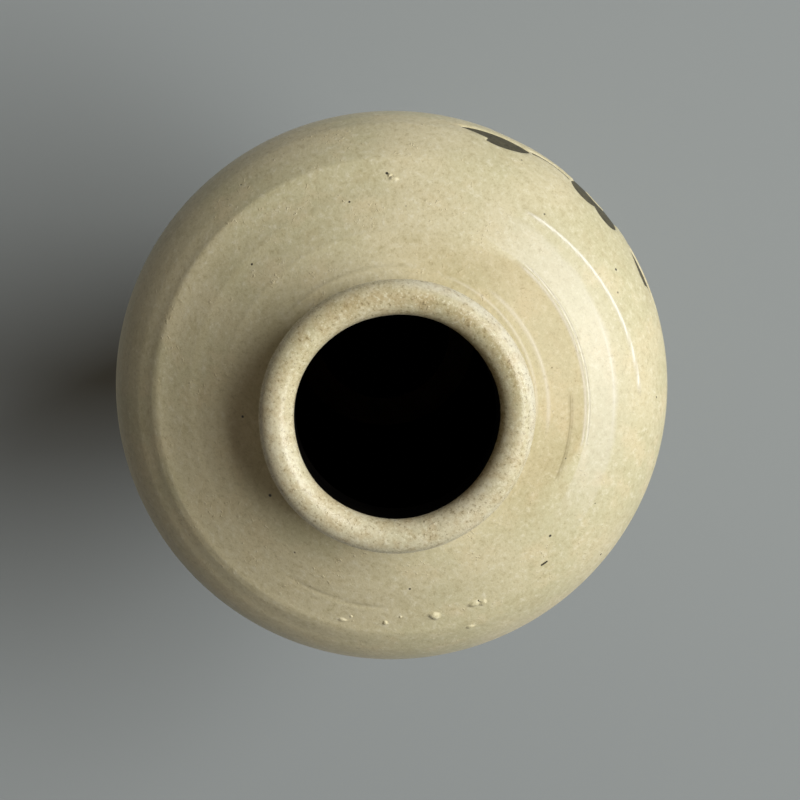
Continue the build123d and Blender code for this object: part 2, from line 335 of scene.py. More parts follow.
def worked(angle, radius, height):
    """How far the coat's face lies outside the turned outline, in millimetres."""
    turning = angle + 360 * height / RING_PITCH
    rings = 0.020 * np.sin(np.radians(turning)) + 0.012 * np.sin(np.radians(0.47 * turning + 40))
    slow = waves(angle, ((1, 0.02, 30), (2, 0.025, 100), (3, 0.012, 10))) - 0.075
    on_side = height < TURN_Z + 0.01
    on_top = (radius > COLLAR_R - 0.01) & (height < COLLAR_Z + 0.5)
    base = np.where(on_side, height, np.minimum(cone_height(radius), height))
    facing = np.where(on_side, np.clip((height - GIRTH_Z) / wall_radius, 0, 1), SHOULDER_FACING)
    lift = (upper_height(angle, radius) - base) * facing
    lines = sum(on_lines(angle, radius, SHOULDER_MARKS, 0.4))
    edge = 0.10 * window(angle, 75, 130, 30) * bump(height - 150.6, 1.1) - falling_away(angle, radius)
    marks = np.where(on_top & (height > UPPER_WALL_Z), lift + lines + edge, 0)
    return marks + np.where(on_top, rings + slow, 0)


# %% The lip, which is a little oval and wavy
def lip_shift(angle, height):
    """How far the lip's ring moves out and up, in millimetres, fading to nothing at the neck."""
    share = np.clip((height - NECK_Z) / (LIP_Z - NECK_Z), 0, 1)
    out = waves(angle, ((2, 0.17, 0), (3, 0.06, 15), (5, 0.05, 80), (7, 0.03, 0)))
    rise = waves(angle, ((2, 0.05, 40), (3, 0.06, 130), (5, 0.03, 10))) - 0.16
    return out * share, rise * share


print("marks on the shoulder", len(SHOULDER_MARKS))

# %% [markdown]
# ## The outlines of the spray
#
# The dark spray is cut into the pale coat, down to a skin of dark slip. Each outline is a signed distance:
# negative inside, positive outside, in millimetres. Distances are easy to join and to cut from each other,
# and the rounded edge of the coat follows from them too.

# %% The spray's sizes and places, across and up from the girth
SPRAY_SPAN = 50.0
PALE_GAP = 0.9
STEM_WIDTH = 1.3
SPRAY_AZIMUTH = 270.0
BLOSSOM = dict(place=(-0.054, 0.058), ring=5.1, lobe=3.5, lobes=5, first=54, heart=1.9)
FLOWER = dict(place=(0.03, -0.43), ring=10.4, lobe=4.3, lobes=9, first=10, heart=2.1)
INNER = dict(place=FLOWER["place"], ring=4.3, lobe=2.7, lobes=6, first=0)
# Leaves: place of the base, direction in degrees, length, side of the barb
LEAVES = (
    ((0.28, 0.16), 5, 0.268, 1),
    ((0.268, 0.004), -10, 0.264, 1),
    ((0.35, -0.31), -22, 0.25, 1),
    ((0.26, -0.66), -48, 0.26, 1),
    ((-0.272, 0.084), 170, 0.276, -1),
    ((-0.27, -0.19), 194, 0.26, -1),
    ((-0.26, -0.56), 222, 0.27, -1),
)
STEMS = (
    ((0.29, 0.164), (0.172, 0.124), (0.06, 0.16)),
    ((0.276, 0.006), (0.19, -0.032), (0.08, -0.13)),
    ((-0.28, 0.086), (-0.21, -0.04), (-0.06, -0.17)),
    ((-0.054, -0.06), (-0.032, -0.14), (0.03, -0.20)),
    ((0.03, -0.66), (0.092, -0.88), (0.03, -1.12)),
    ((0.078, -0.80), (0.16, -0.75), (0.268, -0.668)),
    ((0.078, -0.94), (-0.09, -0.78), (-0.268, -0.568)),
)


# %% Distances to rounds, arcs and closed shapes
def through(a, b, c, count=14):
    """Points of the arc through three places."""
    a, b, c = (np.array(v, float) for v in (a, b, c))
    to_b, to_c = b - a, c - a
    turn = 2 * np.cross(to_b, to_c)
    if abs(turn) < 1e-6:
        return np.linspace(a, c, count)
    bb, cc = to_b @ to_b, to_c @ to_c
    centre = a + np.array((to_c[1] * bb - to_b[1] * cc, to_b[0] * cc - to_c[0] * bb)) / turn
    return round_centre(centre, a, c, count, turn > 0)


def to_round(p, middle, radius):
    """Signed distance to a circle."""
    return np.hypot(p[:, 0] - middle[0], p[:, 1] - middle[1]) - radius


def to_line(p, points):
    """Distance to a run of straight pieces."""
    nearest = np.full(len(p), 1e9)
    for a, b in zip(points, points[1:]):
        along = np.clip(((p - a) @ (b - a)) / max((b - a) @ (b - a), 1e-12), 0, 1)
        nearest = np.minimum(nearest, np.hypot(*(p - a - along[:, None] * (b - a)).T))
    return nearest


def to_closed(p, points):
    """Signed distance to a closed shape."""
    inside = np.zeros(len(p), bool)
    for a, b in zip(points, np.roll(points, -1, 0)):
        crosses = (a[1] > p[:, 1]) != (b[1] > p[:, 1])
        rise = b[1] - a[1] if b[1] != a[1] else 1e-12
        inside ^= crosses & (p[:, 0] < (b[0] - a[0]) * (p[:, 1] - a[1]) / rise + a[0])
    away = to_line(p, np.concatenate((points, points[:1])))
    return np.where(inside, -away, away)


# %% Distances to the pieces of a spray
def petals(p, shape, extra=0.0):
    """Round middle with lobes about it."""
    middle = SPRAY_SPAN * np.array(shape["place"])
    nearest = to_round(p, middle, shape["ring"] + extra)
    for k in range(shape["lobes"]):
        turned = radians(shape["first"] + 360 * k / shape["lobes"])
        lobe = middle + shape["ring"] * np.array((cos(turned), sin(turned)))
        nearest = np.minimum(nearest, to_round(p, lobe, shape["lobe"] + extra))
    return nearest


def with_heart(p, distance, shape):
    """Clears a pale ring round the heart and sets the heart in it."""
    middle = SPRAY_SPAN * np.array(shape["place"])
    cleared = np.maximum(distance, -to_round(p, middle, shape["heart"] + PALE_GAP))
    return np.minimum(cleared, to_round(p, middle, shape["heart"]))


def leaf_outline(place, direction, length, side):
    """A pointed leaf with one barb."""
    shares = {"shoulder": (0.20, 0.24), "barb": (0.62, 0.25), "notch": (0.60, 0.15)}
    shares |= {"shank": (0.80, 0.08), "tip": (1, 0), "belly": (0.50, -0.11)}
    at = {k: np.array((x, side * y)) * length * SPRAY_SPAN for k, (x, y) in shares.items()}
    base = np.zeros(2)
    runs = (
        through(base, at["shoulder"], at["barb"])[:-1],
        at["barb"][None],
        through(at["notch"], at["shank"], at["tip"])[:-1],
        through(at["tip"], at["belly"], base)[:-1],
    )
    c, s = cos(radians(direction)), sin(radians(direction))
    return np.concatenate(runs) @ np.array(((c, s), (-s, c))) + SPRAY_SPAN * np.array(place)


def spray_distances(p):
    """Signed distance to each kind of piece."""
    blossom, flower = petals(p, BLOSSOM), petals(p, FLOWER)
    leaves = np.min([to_closed(p, leaf_outline(*row)) for row in LEAVES], 0)
    stems = [through(*(SPRAY_SPAN * np.array(place) for place in row)) for row in STEMS]
    stem = np.min([to_line(p, points) for points in stems], 0) - STEM_WIDTH / 2
    stem = np.maximum(stem, PALE_GAP - np.min((blossom, flower, leaves), 0))
    inner = np.minimum(np.maximum(flower, -petals(p, INNER, PALE_GAP)), petals(p, INNER))
    hearted = {"blossom": with_heart(p, blossom, BLOSSOM), "flower": with_heart(p, inner, FLOWER)}
    return hearted | {"leaves": leaves, "stem": stem}


def nearest_piece(p):
    """Signed distance to the nearest piece of the spray."""
    return np.min(list(spray_distances(p).values()), 0)


print("leaf outline has", len(leaf_outline(*LEAVES[0])), "points")


# %% Lines of equal distance
def contour(field, across, upward, level):
    """Points and short pieces of the line where a gridded field passes a level."""
    low = field < level
    changes = np.zeros((len(upward) - 1, len(across) - 1), bool)
    for corner in (low[1:, :-1], low[1:, 1:], low[:-1, 1:]):
        changes |= corner != low[:-1, :-1]
    points, index, pieces = [], {}, []

    def crossing(a, b):
        """The point between two nodes of the grid, each given as row and column."""
        key = (a, b) if a < b else (b, a)
        if key not in index:
            share = (level - field[a]) / (field[b] - field[a])
            ends = [np.array((across[n[1]], upward[n[0]])) for n in (a, b)]
            index[key] = len(points)
            points.append(ends[0] + share * (ends[1] - ends[0]))
        return index[key]

    for i, j in zip(*np.nonzero(changes)):
        corners = [(i, j), (i, j + 1), (i + 1, j + 1), (i + 1, j)]
        sides = [(a, b) for a, b in zip(corners, corners[1:] + corners[:1]) if low[a] != low[b]]
        found = [crossing(a, b) for a, b in sides]
        pieces += [tuple(found[k : k + 2]) for k in range(0, len(found) - 1, 2)]
    return np.array(points), pieces


# %% The spray on a fine grid
GRID_STEP = 0.4
spray_across = np.arange(-29.4, 30.2, GRID_STEP)
spray_up = np.arange(-58.6, 14.0, GRID_STEP)
grid_places = np.stack(np.meshgrid(spray_across, spray_up), -1).reshape(-1, 2)
grid_distances = {k: d.reshape(len(spray_up), -1) for k, d in spray_distances(grid_places).items()}
spray_field = np.min(list(grid_distances.values()), 0)
print("spray grid", spray_field.shape, "nearest", round(float(spray_field.min()), 2))

# %% [markdown]
# ## The pale coat
#
# The coat is one closed skin: its face outside, with the throwing marks, and a plain face against the
# clay. Most of it is a lathe grid. Round the spray the grid gives way to a finer net of triangles that
# follows the outlines, where the face dips to the slip with a rounded edge, as glaze does when it is cut.

# %% Helpers that make a piece
made = {}


def piece(name, points, faces, slot, stands_for=()):
    """A mesh from millimetres, shaded smooth but for its sharp edges, riding on the vase."""
    mesh = bpy.data.meshes.new(name)
    mesh.from_pydata((np.asarray(points) * MM).tolist(), [], faces)
    mesh.validate()
    mesh.shade_smooth()
    mesh.set_sharp_from_angle(angle=radians(50))
    thing = new_object(name, mesh)
    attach(thing, "root")
    if stands_for:
        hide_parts(*stands_for)
    made[name] = thing
    print(name, len(points), "points", sum(len(f) - 2 for f in faces), "triangles")
    return thing


def in_space(azimuth, radius, height):
    """Places in space from azimuths in degrees, radii and heights."""
    turned = np.radians(azimuth)
    return np.stack((radius * np.cos(turned), radius * np.sin(turned), height), -1)


COLUMNS = 320
azimuths = 360 * np.arange(COLUMNS) / COLUMNS


def glaze_hem(angle, height):
    """How far the coat's lower edge is drawn up, where it stopped unevenly."""
    near = np.clip(1 - (height - GLAZE_LINE) / 5, 0, 1)
    return near * (0.55 + waves(angle, ((2, 0.16, 20), (5, 0.12, 90), (9, 0.1, 10), (17, 0.05, 60))))


def coat_face(table, azimuth):
    """Radius and height of the coat's face for rows of the outline at these azimuths."""
    radius, height, across, rise = (table[:, k, None] for k in range(4))
    angle = np.asarray(azimuth)[None, :] - PICTURE_TURN
    bead = 0.12 * bump(height - GLAZE_LINE - 1.6, 1.3)
    out = worked(angle, radius, height) + bead
    shift, lift = lip_shift(angle, height)
    return radius + out * across + shift, height + out * rise + lift + glaze_hem(angle, height)


# %% Where the fine net goes
PANEL_HALF = 36.0  # degrees each side of the spray's middle
PANEL_TOP_Z, PANEL_FOOT_Z = 153.2, 79.0
column_step = 360 / COLUMNS
panel_top, panel_foot = (int(np.argmin(np.abs(rows[:, 1] - z))) for z in (PANEL_TOP_Z, PANEL_FOOT_Z))
CUT = 0.42  # how far the coat dips over the slip
EDGE_IN, EDGE_WIDE = 0.17, 0.75  # the rounded edge starts this far inside the outline
LEVELS = (-EDGE_IN, 0.0, 0.22, EDGE_WIDE - EDGE_IN)
CLEAR_OUT, CLEAR_IN = 0.95, 0.6  # nodes of the lathe grid nearer than these to an outline are left out
DEGREE_MM = radians(1) * 52.0  # makes degrees comparable to millimetres for the net


def cut_depth(distance):
    """How far the coat's face dips at a distance from the spray's outline."""
    return CUT * (1 - rise_between(distance + EDGE_IN, 0, EDGE_WIDE))


def spray_to_vase(places):
    """Azimuths and heights of places on the spray's upright plane."""
    heights = GIRTH_Z + places[:, 1]
    radii = side_at(heights)[:, 0] - GLAZE
    return SPRAY_AZIMUTH + np.degrees(np.arcsin(places[:, 0] / radii)), heights


def vase_to_spray(azimuth, heights):
    """Places on the spray's plane for azimuths and heights on the vase."""
    radii = side_at(heights)[:, 0] - GLAZE
    return np.stack((radii * np.sin(np.radians(azimuth - SPRAY_AZIMUTH)), heights - GIRTH_Z), 1)


# %% Places on the side, and triangles over flat points
def side_worked(azimuth, heights):
    """The throwing marks on the side, as a push."""
    return worked(azimuth - PICTURE_TURN, side_at(heights)[:, 0], heights)


def side_places(azimuth, heights, push):
    """Places in space, pushed out of the side along its normal."""
    radius, height, across, rise = side_at(heights).T
    return in_space(azimuth, radius + push * across, height + push * rise)


def net(points, pieces):
    """Triangles over flat points, all turning left, keeping the given pieces as edges."""
    result = delaunay_2d_cdt([Vector(p) for p in points], pieces, [], 0, 1e-4)
    places, triangles = np.array([tuple(v) for v in result[0]]), np.array(result[2])
    a, b, c = (places[triangles[:, k]] for k in range(3))
    rightward = np.cross(b - a, c - a) < 0
    triangles[rightward] = triangles[rightward][:, (0, 2, 1)]
    return places, triangles, result[3]


# %% The lines that the nets follow, on the spray's plane
lines = [contour(spray_field, spray_across, spray_up, level) for level in LEVELS]
line_points = np.concatenate([points for points, _ in lines])
starts = np.cumsum([0] + [len(points) for points, _ in lines])
line_pieces = [(a + s, b + s) for (_, pieces), s in zip(lines, starts) for a, b in pieces]
print("outline points", len(line_points), "pieces", len(line_pieces))


# %% The fine net
def panel_net():
    """The net round the spray: its places, triangles, which are nodes of the lathe grid, and its columns."""
    middle, half = round(SPRAY_AZIMUTH / column_step), round(PANEL_HALF / column_step)
    columns = np.arange(middle - half, middle + half + 1)
    heights = rows[panel_top : panel_foot + 1, 1]
    number = np.arange(len(heights) * len(columns)).reshape(len(heights), -1)
    grid_az, grid_z = (v.ravel() for v in np.meshgrid(columns * column_step, heights))
    grid_i, grid_j = (v.ravel() for v in np.indices(number.shape))
    rim = np.concatenate((number[0], number[1:, -1], number[-1, -2::-1], number[-2:0:-1, 0]))
    on_edge = np.isin(number.ravel(), rim)
    distance = nearest_piece(vase_to_spray(grid_az, grid_z))
    keep = on_edge | (distance > CLEAR_OUT) | (distance < -CLEAR_IN)
    kept = np.cumsum(keep) - 1
    az, z = spray_to_vase(line_points)
    flat = np.stack((np.concatenate((grid_az[keep], az)), np.concatenate((grid_z[keep], z))), 1)
    flat[:, 0] *= DEGREE_MM
    edges = [(int(kept[a]), int(kept[b])) for a, b in zip(rim, np.roll(rim, -1))]
    offset = int(keep.sum())
    places, triangles, origin = net(flat, edges + [(a + offset, b + offset) for a, b in line_pieces])
    places[:, 0] /= DEGREE_MM
    named = {int(kept[n]): (panel_top + grid_i[n], columns[grid_j[n]] % COLUMNS) for n in rim}
    nodes = {new: named[o] for new, old in enumerate(origin) for o in old if o in named}
    return places, triangles, nodes, columns


def panel_face(number):
    """New points and faces over the net, and the cells of the lathe grid that they take."""
    places, triangles, nodes, columns = panel_net()
    index = {new: int(number[node]) for new, node in nodes.items()}
    free = [n for n in range(len(places)) if n not in index]
    index |= {n: number.size + k for k, n in enumerate(free)}
    az, z = places[free].T
    push = side_worked(az, z) - cut_depth(nearest_piece(vase_to_spray(az, z)))
    taken = np.zeros((len(rows) - 1, COLUMNS), bool)
    taken[panel_top:panel_foot, columns[:-1] % COLUMNS] = True
    return side_places(az, z, push), [[index[n] for n in t] for t in triangles.tolist()], taken


# %% The face of the coat and its back
# The back is plain, so it has only some of the rows: fewer on the lip and neck, and fewer still below.
BACK_ROWS = [slice(0, 33, 4), slice(36, 49, 4), slice(49, panel_top, 9)]
BACK_ROWS += [slice(panel_top, None, 5), slice(-1, None)]


def coat_mesh():
    """Points and faces of the closed coat."""
    face = in_space(azimuths, *coat_face(rows, azimuths)).reshape(-1, 3)
    number = np.arange(len(face)).reshape(len(rows), COLUMNS)
    fresh, faces, taken = panel_face(number)
    ahead = np.roll(number, -1, 1)
    faces += np.stack((number[:-1], number[1:], ahead[1:], ahead[:-1]), -1)[~taken].tolist()
    back_rows = np.concatenate([rows[part] for part in BACK_ROWS])
    radius, height = coat_face(back_rows * (1, 1, 0, 0), azimuths)
    inward = GLAZE * back_rows[:, 2:, None]
    back = in_space(azimuths, radius - inward[:, 0], height - inward[:, 1]).reshape(-1, 3)
    skin = len(face) + len(fresh) + np.arange(len(back)).reshape(-1, COLUMNS)
    ahead = np.roll(skin, -1, 1)
    faces += np.stack((skin[:-1], ahead[:-1], ahead[1:], skin[1:]), -1).reshape(-1, 4).tolist()
    for one, other in ((number[0], skin[0]), (skin[-1], number[-1])):
        faces += np.stack((one, np.roll(one, -1), np.roll(other, -1), other), -1).tolist()
    return np.concatenate((face, fresh, back)), faces


coat = piece("ash_glaze_coat", *coat_mesh(), "pale_glaze", ("outer_glaze",))

# %% [markdown]
# On the right of the shoulder, where the light falls, the glaze lies thick and glossy in a belt outside the
# double ridge, and along each ridge, and its colour there is whitened as a painted highlight. Inside that
# belt it is duller, and its colour is darkened as painted shade; dark lines of painted shade lie in the
# grooves. These go onto the mesh as shares, which pass 1 only along the ridges.

# %% Where the glaze is glossy with a painted highlight, and where painted shade lies in the grooves, written as the ridges are, with a share for the height
# Ridges that are glossier, their colour whitened as a painted highlight.
GLOSSY_HIGHLIGHT_LINES = (
    (-9, 45, 36.66, 35.96, 1.9, 0.20, 5),
    (-9, 45, 37.46, 36.66, 1.5, 0.18, 5),
    (5, 52, 48.10, 45.07, 1.7, 0.26, 5),
    (-2, 45, 29.0, 28.6, 1.0, 0.34, 10),
    (5, 60, 26.6, 26.8, 0.8, 0.28, 15),
    (-20, 45, 42.9, 42.3, 1.1, 0.26, 20),
)
# Grooves that get a dark line of painted shade.
GROOVE_SHADE_LINES = (
    (-22, 2, 33.8, 33.4, 0.75, 0.22, 5),
    (-9, 45, 37.06, 36.32, 0.4, 0.11, 5),
    (-116, -95, 39.4, 40.1, 0.6, 0.20, 5),
)
LAYERS = ("glossy_painted_highlight", "painted_shade_and_lip_brown", "painted_groove_shade")


def painted_light_shares(angle, radius):
    """Shares of glossy glaze with a painted highlight, of painted shade, and of painted shade in the grooves
    on the shoulder.
    """
    edge = 36.9 - 0.9 * np.clip((angle + 12) / 68, 0, 1)
    soft = 0.5 + 6 * (1 - window(angle, -8, 48, 20))
    outer = 42.5 + waves(angle, ((1, 0.5, 120), (23, 0.16, 0), (41, 0.12, 50), (67, 0.08, 20)))
    # On the lit side the belt is glossier and its colour is whitened as a painted highlight; inside it the
    # colour is darkened as painted shade.
    glossy_highlit_belt = rise_between(radius, edge, edge + 0.35) * (1 - 0.75 * rise_between(radius, outer, outer + 0.9))
    glossy_highlit_belt = 0.62 * glossy_highlit_belt * (1 - rise_between(radius, 44.5, 48.5)) * window(angle, -10, 40, 32)
    painted_shade_inside = (1 - rise_between(radius, edge + 0.2 - soft, edge + 0.2)) * window(angle, -20, 60, 45)
    lines, groove_shade_share = (np.max(list(on_lines(angle, radius, t, 0.2)), 0) for t in (GLOSSY_HIGHLIGHT_LINES, GROOVE_SHADE_LINES))
    return np.maximum(glossy_highlit_belt, lines), painted_shade_inside, groove_shade_share


# %% Layers of the mesh
x, y, z = np.array([tuple(v.co) for v in coat.data.vertices]).T / MM
coat_angle = (np.degrees(np.arctan2(y, x)) - PICTURE_TURN + 180) % 360 - 180
coat_radius = np.hypot(x, y)
on_shoulder = rise_between(z, 148.0, 154.0) * (1 - rise_between(z, 171.0, 172.5))
on_roll = rise_between(z, 174.0, 177.0)
# On the lip, its lit outer right side and its lower part are whitened as a painted highlight; its top is
# browner.
lip_highlight = 0.9 * window(coat_angle, 0, 70, 30) * rise_between(coat_radius, 23.3, 24.6)
lip_highlight = np.maximum(0.3 * window(coat_angle, -165, -50, 40), lip_highlight)
browner = 0.9 * window(coat_angle, 35, 110, 40) * bump(coat_radius - 22.4, 1.3)
for name, share, roll in zip(LAYERS, painted_light_shares(coat_angle, coat_radius), (lip_highlight, browner, 0)):
    share = share * on_shoulder + roll * on_roll
    layer = coat.data.attributes.new(name, "FLOAT", "POINT")
    layer.data.foreach_set("value", share.astype(np.float32))
    print(name, "covers", round(float((share > 0.3).mean()), 3), "of the points")

# %% [markdown]
# ## The dark slip of the spray
#
# Each kind of piece in the spray is a skin of dark slip on the clay, seen where the coat is cut away. Its
# edge runs a little way under the coat's rounded edge, as a painted ground does.

# %% Slip pieces
SLIP_UNDER = 0.12  # how far the slip runs under the coat's edge
SLIP_TOP, SLIP_FOOT = -0.28, -0.47  # from the coat's face
FILL_IN = 0.35  # places that fill a piece lie at least this far inside its outline


def slip_mesh(kind):
    """A closed skin over all the pieces of one kind in the spray."""
    points, pieces = contour(grid_distances[kind], spray_across, spray_up, SLIP_UNDER)
    fill = np.stack(np.meshgrid(spray_across[1:-1:3], spray_up[1:-1:3]), -1).reshape(-1, 2)
    fill = fill[spray_distances(fill)[kind] < -FILL_IN]
    places, triangles, _ = net(np.concatenate((points, fill)), pieces)
    inside = spray_distances(places[triangles].mean(1))[kind] < SLIP_UNDER
    triangles = triangles[inside].tolist()
    az, z = spray_to_vase(places)
    skins = (side_places(az, z, side_worked(az, z) + SLIP_TOP), side_places(az, z, SLIP_FOOT))
    count = len(places)
    faces = [f for a, b, c in triangles for f in ((a, b, c), (a + count, c + count, b + count))]
    edges = dict.fromkeys(edge for a, b, c in triangles for edge in ((a, b), (b, c), (c, a)))
    faces += [(b, a, a + count, b + count) for a, b in edges if (b, a) not in edges]
    used = sorted({v for f in faces for v in f})
    renumber = {v: k for k, v in enumerate(used)}
    return np.concatenate(skins)[used], [tuple(renumber[v] for v in f) for f in faces]


for kind in grid_distances:
    piece(f"front_{kind}_slip", *slip_mesh(kind), "dark_slip", (f"front_{kind}",))

# %% [markdown]
# ## The dark coat inside
#
# The inside was glazed by pouring a dark glaze in and out again, its colour made almost black as painted
# shade.
# Its face follows the throat's edge, and it carries the rings of throwing, which were left unsmoothed inside.


# %% A closed lathe mesh
def lathe(outline, mark, columns):
    """Points and faces of a closed outline swept round the axis. It runs clockwise, radius across."""
    angles = 360 * np.arange(columns) / columns
    radius, height = (np.repeat(outline[:, k, None], columns, 1) for k in (0, 1))
    radius, height = mark(radius, height, angles[None, :] - PICTURE_TURN)
    points, faces, number = [], [], []
    on_axis = outline[:, 0] < 1e-6
    for k, single in enumerate(on_axis):
        ring = np.array([(0, 0, height[k].mean())]) if single else in_space(angles, radius[k], height[k])
        number.append(sum(len(p) for p in points) + np.arange(columns) % len(ring))
        points.append(ring)
    for k, near in enumerate(number):
        after = (k + 1) % len(number)
        if not (on_axis[k] and on_axis[after]):
            far = number[after]
            quads = np.stack((near, far, np.roll(far, -1), np.roll(near, -1)), 1).tolist()
            faces += [list(dict.fromkeys(quad)) for quad in quads]
    return np.concatenate(points), faces


# %% The inner face and the clay behind it
WALL = 5.0
FLOOR_Z = 11.0
FLOOR_RING_R = 17.0  # the floor's spiral fades out towards this radius
THROAT_FOOT_Z = 170.6
FLOOR_CORNER = 7.0


def inner_outline(back):
    """The inside from the throat's edge down to the middle of the floor, `back` behind the glaze's face."""
    inset = WALL + GLAZE + GLAZE - back
    side = behind(np.concatenate((np.linspace(153.5, 150, 4), np.linspace(148, 24, 60))), inset)
    throat = THROAT_R + back
    top = np.linspace((throat, LIP_Z), (throat, THROAT_FOOT_Z), 24)
    under = arc((throat, THROAT_FOOT_Z), (24.28 + 0.6 * back, 164.9 + back), (0, -1), 9)[1:]
    slope = np.linspace(under[-1], side[0], 16)[1:-1]
    floor_z = FLOOR_Z + GLAZE - back
    corner_r = FLOOR_CORNER - GLAZE + back
    wall_r = side_at(np.array([floor_z + corner_r]))[0, 0] - inset
    corner = on_circle((wall_r - corner_r, floor_z + corner_r), corner_r, np.radians(np.linspace(0, -90, 14)))
    side = side[side[:, 1] > corner[0, 1] + 1]
    floor = np.linspace((corner[-1, 0], floor_z), (0, floor_z), 26)[1:]
    return np.concatenate((top, under, slope, side, corner, floor))


def inner_marks(radius, height, angle):
    """Rings inside, and the throat's edge that follows the lip."""
    face = np.arange(len(radius))[:, None] >= len(radius) // 2
    rings = 0.22 * np.sin(np.radians(angle + 360 * height / 7.5)) - 0.25
    deep = np.clip((168 - height) / 10, 0, 1) * (radius > 14)
    spiral = 0.25 * np.sin(np.radians(angle + 360 * radius / 6.0)) + 0.25
    floor = face & (height < FLOOR_Z + 1) & (radius < FLOOR_RING_R)
    shift, lift = lip_shift(angle, height)
    lower = np.clip((height - THROAT_FOOT_Z) / 4, 0, 1)
    radius = radius + np.where(face, rings * deep, 0) + shift * lower
    swirl = np.where(floor, spiral * np.clip((FLOOR_RING_R - radius) / 6, 0, 1), 0)
    return radius, height + swirl + lift * lower


inner_loop = np.concatenate((inner_outline(0.0), inner_outline(GLAZE)[::-1]))[::-1]
piece("dark_lining_painted_shade", *lathe(inner_loop, inner_marks, 200), "dark_glaze", ("inner_glaze",))

# %% [markdown]
# ## The bare foot
#
# The foot is unglazed clay. It was trimmed upside down on the wheel, which leaves a ring to stand on, a
# shallow recess and fine turning grooves. The piece stands for the whole lower section, up to its joint.

# %% The lower section with its turned foot
RECESS_R, RECESS_Z = 27.0, 4.0
_, foot_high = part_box("foot_section")
SEAM_Z = foot_high.z / MM
outer_side = behind(np.concatenate((np.linspace(SEAM_Z, 24, 28), np.linspace(22, 1.6, 52))), GLAZE)
inner_side = behind(np.linspace(19.0, SEAM_Z, 30), WALL + GLAZE)
ring_face = ((32.9, 1.0), (32.5, 0.4), (31.9, 0.08), (31.2, 0.0), (29.4, 0.0), (28.0, 0.06), (27.4, 0.4))
recess_side = ((27.05, 1.2), (RECESS_R, 3.2), (26.6, 3.8))
recess = np.linspace((26.0, RECESS_Z), (0, RECESS_Z), 90)
floor_edge = np.linspace((0, FLOOR_Z), (18.5, FLOOR_Z), 6)
foot_outline = np.concatenate((outer_side, ring_face, recess_side, recess, floor_edge, inner_side))


def foot_marks(radius, height, angle):
    """Turning grooves on the bare foot and in its recess, and a foot ring worn uneven."""
    low_out = (radius > 30.5) & (height < 12) & (height > 0.9)
    grooves = 0.07 * np.sin(np.radians(angle + 360 * height / 1.5)) * np.clip((12 - height) / 3, 0, 1) - 0.05
    under = (np.abs(height - RECESS_Z) < 0.05) & (radius > 0.5)
    spiral = 0.10 * np.sin(np.radians(angle + 360 * radius / 1.9))
    spiral = spiral + 0.05 * np.sin(np.radians(360 * radius / 7.3))
    centre = 0.45 * bump(radius, 2.2)
    return radius + np.where(low_out, grooves, 0), height + np.where(under, spiral - centre, 0)


piece("turned_foot_section", *lathe(foot_outline, foot_marks, 256), "clay", ("foot_section",))

# %% [markdown]
# ## Kiln grit
#
# Bits of kiln grit fell on the shoulder while the glaze was molten. The glaze wetted them and drew up their
# sides, so each is a small smooth pimple with a steep side, not a ball.

# %% Grit under the glaze
# angle of the picture, radius on the shoulder, half width, height, how much longer it is than wide
GRIT = (
    (-79.5, 42.95, 1.35, 0.62, 1.05),
    (-68.6, 42.8, 1.15, 0.50, 1.15),
    (-66.3, 43.4, 0.85, 0.42, 1.2),
    (-92.5, 43.8, 0.70, 0.36, 1.0),
    (-71.5, 47.9, 0.75, 0.30, 1.5),
    (-103.5, 44.4, 0.62, 0.26, 1.7),
    (-88.5, 42.4, 0.42, 0.20, 1.0),
    (-101.5, 43.2, 0.42, 0.18, 1.0),
    (90.3, 43.3, 0.80, 0.34, 1.3),
    (91.2, 43.9, 0.55, 0.26, 1.0),
)


def shoulder_point(angle, radius):
    """Place on the coat's face, and its normal, at an angle of the picture."""
    slope = radians(SHOULDER_TILT if radius < TURN_R else 40.0)
    height = float(upper_height(np.float64(angle), np.float64(radius)))
    return seen(angle, radius, height), seen(angle, sin(slope), cos(slope))


def profile(share):
    """Height of a pimple from its middle, 0, to its rim, 1: a flat top and a steep side."""
    return (1 + np.exp(-5.5 * 0.55)) / (1 + np.exp(9.5 * (share * 1.35 - 0.55))) if share < 1 else 0


# %% Grit as closed caps
RINGS, SPOKES = 16, 32


def grit_mesh():
    """All the pimples, each a closed cap sunk a little in the coat."""
    points, faces = [], []
    for n, (angle, radius, half, height, longer) in enumerate(GRIT):
        place, normal = shoulder_point(angle, radius)
        side = normal.cross(Vector((0, 0, 1))).normalized()
        over = side.cross(normal)
        first = len(points)
        points.append(place + normal * (height - 0.06))
        for r in range(1, RINGS + 1):
            for s in range(SPOKES):
                turn = 2 * pi * s / SPOKES
                uneven = 1 + 0.10 * sin(2 * turn + 1.7 * n) + 0.06 * sin(3 * turn + 0.9 * n)
                uneven += 0.04 * sin(5 * turn + n)
                reach = 1.45 * half * r / RINGS * uneven
                lie = side * (reach * longer * cos(turn)) + over * (reach * sin(turn))
                rise = height * profile(r / RINGS) * (1 + 0.06 * sin(turn * 2 + n)) - 0.10
                points.append(place + lie + normal * rise)
        base = len(points)
        points.append(place - normal * 0.3)
        for s in range(SPOKES):
            after = (s + 1) % SPOKES
            faces.append((first, first + 1 + after, first + 1 + s))
            for r in range(RINGS - 1):
                a, b = first + 1 + r * SPOKES, first + 1 + (r + 1) * SPOKES
                faces.append((a + after, b + after, b + s, a + s))
            last = base - SPOKES
            faces.append((last + s, last + after, base))
    return np.array([tuple(p) for p in points]), faces


piece("kiln_grit_pimples", *grit_mesh(), "grit", ("kiln_grit",))

# %% [markdown]
# ## Materials
#
# Every colour is an sRGB hex value, turned to linear light by one function. One small function adds a node.


